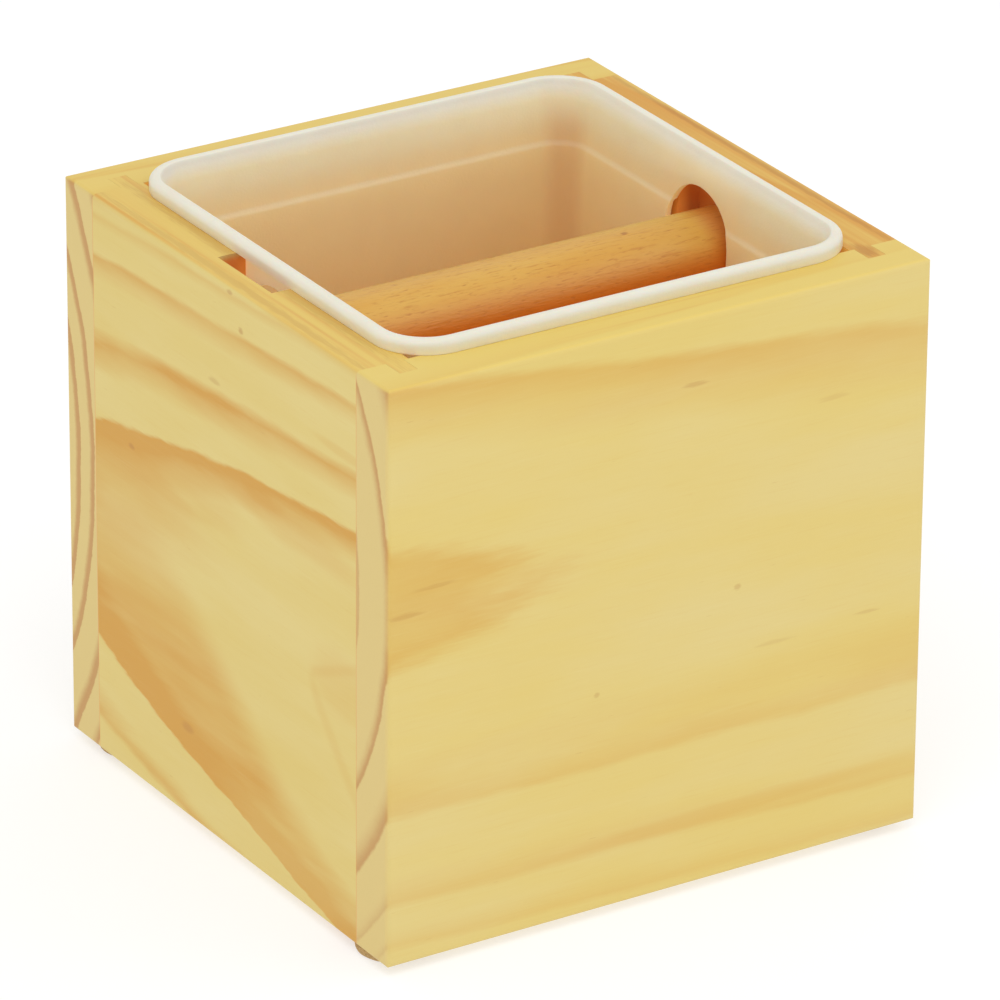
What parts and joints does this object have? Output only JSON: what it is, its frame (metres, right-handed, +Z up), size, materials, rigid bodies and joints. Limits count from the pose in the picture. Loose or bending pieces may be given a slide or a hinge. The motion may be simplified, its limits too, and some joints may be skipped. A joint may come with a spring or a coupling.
{
  "type": "espresso knock box",
  "caption": "Open-topped square pine box with a lift-out plastic tub and a wooden knock bar across it, for emptying spent coffee pucks.",
  "frame": {"origin": "centre of the footprint, on the surface that the box stands on", "axes": "+X to the box's right seen from the front, +Y from front to back, +Z up"},
  "size_m": [0.15, 0.15, 0.1541],
  "materials": {
    "pine_front": "sanded pine with a thin clear oil",
    "pine_side": "sanded pine with a thin clear oil, stronger growth rings",
    "plywood": "plain sanded plywood",
    "tub_plastic": "translucent cream-white moulded plastic, satin",
    "beech": "oiled beech dowel, satin",
    "felt": "pressed brown felt"
  },
  "bodies": {
    "box": {"front_panel": "pine_front", "rear_panel": "pine_front", "left_panel": "pine_side", "right_panel": "pine_side", "floor_board": "plywood", "foot_front_left": "felt", "foot_front_right": "felt", "foot_rear_left": "felt", "foot_rear_right": "felt"},
    "tub": {"tub": "tub_plastic"},
    "bar": {"knock_bar": "beech"}
  },
  "joints": [
    {"name": "tub_lift", "type": "slide", "parent": "box", "child": "tub", "axis": [0, 0, 1], "range_m": [0, 0.145]},
    {"name": "bar_turn", "type": "hinge", "parent": "tub", "child": "bar", "pos_m": [0, 0, 0.1265], "axis": [1, 0, 0], "continuous": true}
  ]
}
